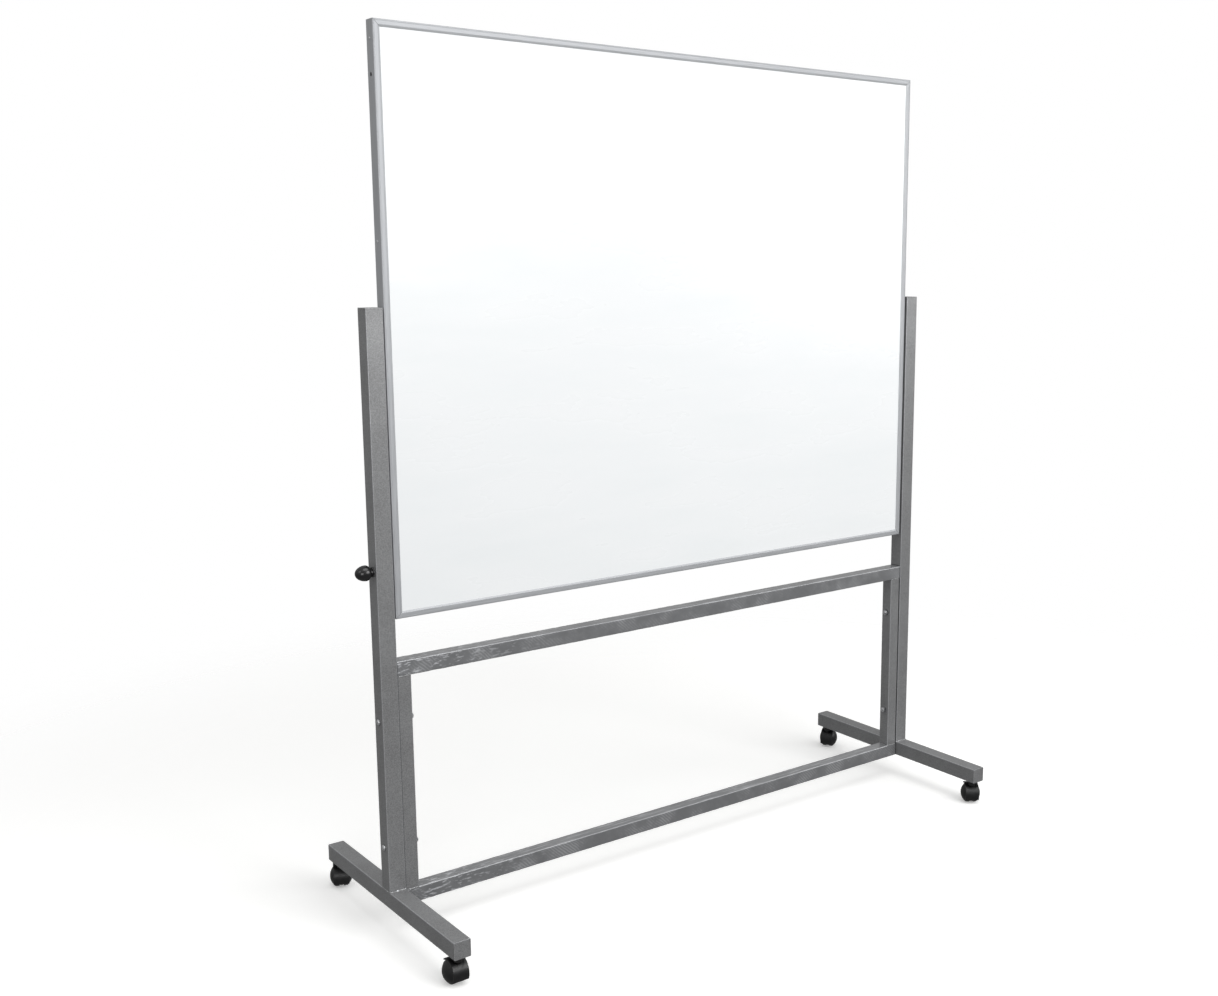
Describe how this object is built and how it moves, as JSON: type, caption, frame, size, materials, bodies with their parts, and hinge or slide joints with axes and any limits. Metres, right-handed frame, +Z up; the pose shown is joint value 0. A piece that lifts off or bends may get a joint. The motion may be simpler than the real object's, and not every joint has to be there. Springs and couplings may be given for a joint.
{
  "type": "rolling whiteboard",
  "caption": "Double-sided whiteboard in an aluminium frame that flips end over end between two posts of a grey steel stand on twin-wheel castors, with a screw knob that locks it.",
  "frame": {"origin": "on the floor, midway between the two posts and on the plane of the board's pivots", "axes": "+Z up; +X along the board to its right-hand side; -Y out of the side written on first. The lock knob is on the left post, at -X."},
  "size_m": [1.6419, 0.6271, 1.899],
  "materials": {
    "grey_paint": "fine metallic silver-grey sprayed paint on square steel tube",
    "aluminium": "satin anodised extrusion",
    "white_enamel": "glossy white writing surface on thin steel sheet",
    "core_board": "raw honeycomb core board, hidden",
    "zinc_steel": "bright zinc-plated steel fasteners",
    "black_plastic": "moulded black nylon, semi-gloss"
  },
  "bodies": {
    "stand": {"left_foot": "grey_paint", "left_foot_front_cap": "grey_paint", "left_foot_rear_cap": "grey_paint", "left_post": "grey_paint", "left_post_cap": "grey_paint", "left_inner_upright": "grey_paint", "left_pivot_bolt": "zinc_steel", "left_pivot_collar": "black_plastic", "left_lower_frame_bolt": "zinc_steel", "left_lower_frame_nut": "zinc_steel", "left_upper_frame_bolt": "zinc_steel", "left_upper_frame_nut": "zinc_steel", "right_foot": "grey_paint", "right_foot_front_cap": "grey_paint", "right_foot_rear_cap": "grey_paint", "right_post": "grey_paint", "right_post_cap": "grey_paint", "right_inner_upright": "grey_paint", "right_pivot_bolt": "zinc_steel", "right_pivot_collar": "black_plastic", "right_lower_frame_bolt": "zinc_steel", "right_lower_frame_nut": "zinc_steel", "right_upper_frame_bolt": "zinc_steel", "right_upper_frame_nut": "zinc_steel", "lower_rail": "grey_paint", "upper_rail": "grey_paint", "lock_insert": "zinc_steel", "front_left_stem": "zinc_steel", "front_right_stem": "zinc_steel", "rear_left_stem": "zinc_steel", "rear_right_stem": "zinc_steel"},
    "board": {"left_pivot_block": "zinc_steel", "right_pivot_block": "zinc_steel", "frame_top": "aluminium", "frame_bottom": "aluminium", "frame_left": "aluminium", "frame_right": "aluminium", "front_sheet": "white_enamel", "back_sheet": "white_enamel", "panel_core": "core_board"},
    "lock_carrier": {"lock_washer": "black_plastic"},
    "lock_screw": {"lock_knob": "black_plastic", "lock_stud": "zinc_steel"},
    "front_left_swivel": {"front_left_castor_body": "black_plastic", "front_left_axle": "zinc_steel"},
    "front_left_wheel_a": {"front_left_wheel_a": "black_plastic"},
    "front_left_wheel_b": {"front_left_wheel_b": "black_plastic"},
    "front_right_swivel": {"front_right_castor_body": "black_plastic", "front_right_axle": "zinc_steel"},
    "front_right_wheel_a": {"front_right_wheel_a": "black_plastic"},
    "front_right_wheel_b": {"front_right_wheel_b": "black_plastic"},
    "rear_left_swivel": {"rear_left_castor_body": "black_plastic", "rear_left_axle": "zinc_steel"},
    "rear_left_wheel_a": {"rear_left_wheel_a": "black_plastic"},
    "rear_left_wheel_b": {"rear_left_wheel_b": "black_plastic"},
    "rear_right_swivel": {"rear_right_castor_body": "black_plastic", "rear_right_axle": "zinc_steel"},
    "rear_right_wheel_a": {"rear_right_wheel_a": "black_plastic"},
    "rear_right_wheel_b": {"rear_right_wheel_b": "black_plastic"}
  },
  "joints": [
    {"name": "board_flip", "type": "hinge", "parent": "stand", "child": "board", "pos_m": [0, 0, 1.299], "axis": [1, 0, 0], "continuous": true},
    {"name": "lock_travel", "type": "slide", "parent": "stand", "child": "lock_carrier", "axis": [-1, 0, 0], "range_m": [0, 0.0125]},
    {"name": "lock_turn", "type": "hinge", "parent": "lock_carrier", "child": "lock_screw", "pos_m": [-0.7915, 0, 0.803], "axis": [-1, 0, 0], "range_deg": [0, 3600]},
    {"name": "front_left_swivel_turn", "type": "hinge", "parent": "stand", "child": "front_left_swivel", "pos_m": [-0.7725, -0.282, 0.065], "axis": [0, 0, 1], "continuous": true},
    {"name": "front_left_wheel_a_spin", "type": "hinge", "parent": "front_left_swivel", "child": "front_left_wheel_a", "pos_m": [-0.7725, -0.268, 0.025], "axis": [-1, 0, 0], "continuous": true},
    {"name": "front_left_wheel_b_spin", "type": "hinge", "parent": "front_left_swivel", "child": "front_left_wheel_b", "pos_m": [-0.7725, -0.268, 0.025], "axis": [-1, 0, 0], "continuous": true},
    {"name": "front_right_swivel_turn", "type": "hinge", "parent": "stand", "child": "front_right_swivel", "pos_m": [0.7725, -0.282, 0.065], "axis": [0, 0, 1], "continuous": true},
    {"name": "front_right_wheel_a_spin", "type": "hinge", "parent": "front_right_swivel", "child": "front_right_wheel_a", "pos_m": [0.78073, -0.27067, 0.025], "axis": [-0.809, 0.5878, 0], "continuous": true},
    {"name": "front_right_wheel_b_spin", "type": "hinge", "parent": "front_right_swivel", "child": "front_right_wheel_b", "pos_m": [0.78073, -0.27067, 0.025], "axis": [-0.809, 0.5878, 0], "continuous": true},
    {"name": "rear_left_swivel_turn", "type": "hinge", "parent": "stand", "child": "rear_left_swivel", "pos_m": [-0.7725, 0.282, 0.065], "axis": [0, 0, 1], "continuous": true},
    {"name": "rear_left_wheel_a_spin", "type": "hinge", "parent": "rear_left_swivel", "child": "rear_left_wheel_a", "pos_m": [-0.76703, 0.29489, 0.025], "axis": [-0.9205, 0.3907, 0], "continuous": true},
    {"name": "rear_left_wheel_b_spin", "type": "hinge", "parent": "rear_left_swivel", "child": "rear_left_wheel_b", "pos_m": [-0.76703, 0.29489, 0.025], "axis": [-0.9205, 0.3907, 0], "continuous": true},
    {"name": "rear_right_swivel_turn", "type": "hinge", "parent": "stand", "child": "rear_right_swivel", "pos_m": [0.7725, 0.282, 0.065], "axis": [0, 0, 1], "continuous": true},
    {"name": "rear_right_wheel_a_spin", "type": "hinge", "parent": "rear_right_swivel", "child": "rear_right_wheel_a", "pos_m": [0.78437, 0.28942, 0.025], "axis": [-0.5299, 0.848, 0], "continuous": true},
    {"name": "rear_right_wheel_b_spin", "type": "hinge", "parent": "rear_right_swivel", "child": "rear_right_wheel_b", "pos_m": [0.78437, 0.28942, 0.025], "axis": [-0.5299, 0.848, 0], "continuous": true}
  ],
  "couplings": [
    {"joint": "lock_travel", "follows": "lock_turn", "m_per_rad": 0.00019894}
  ]
}
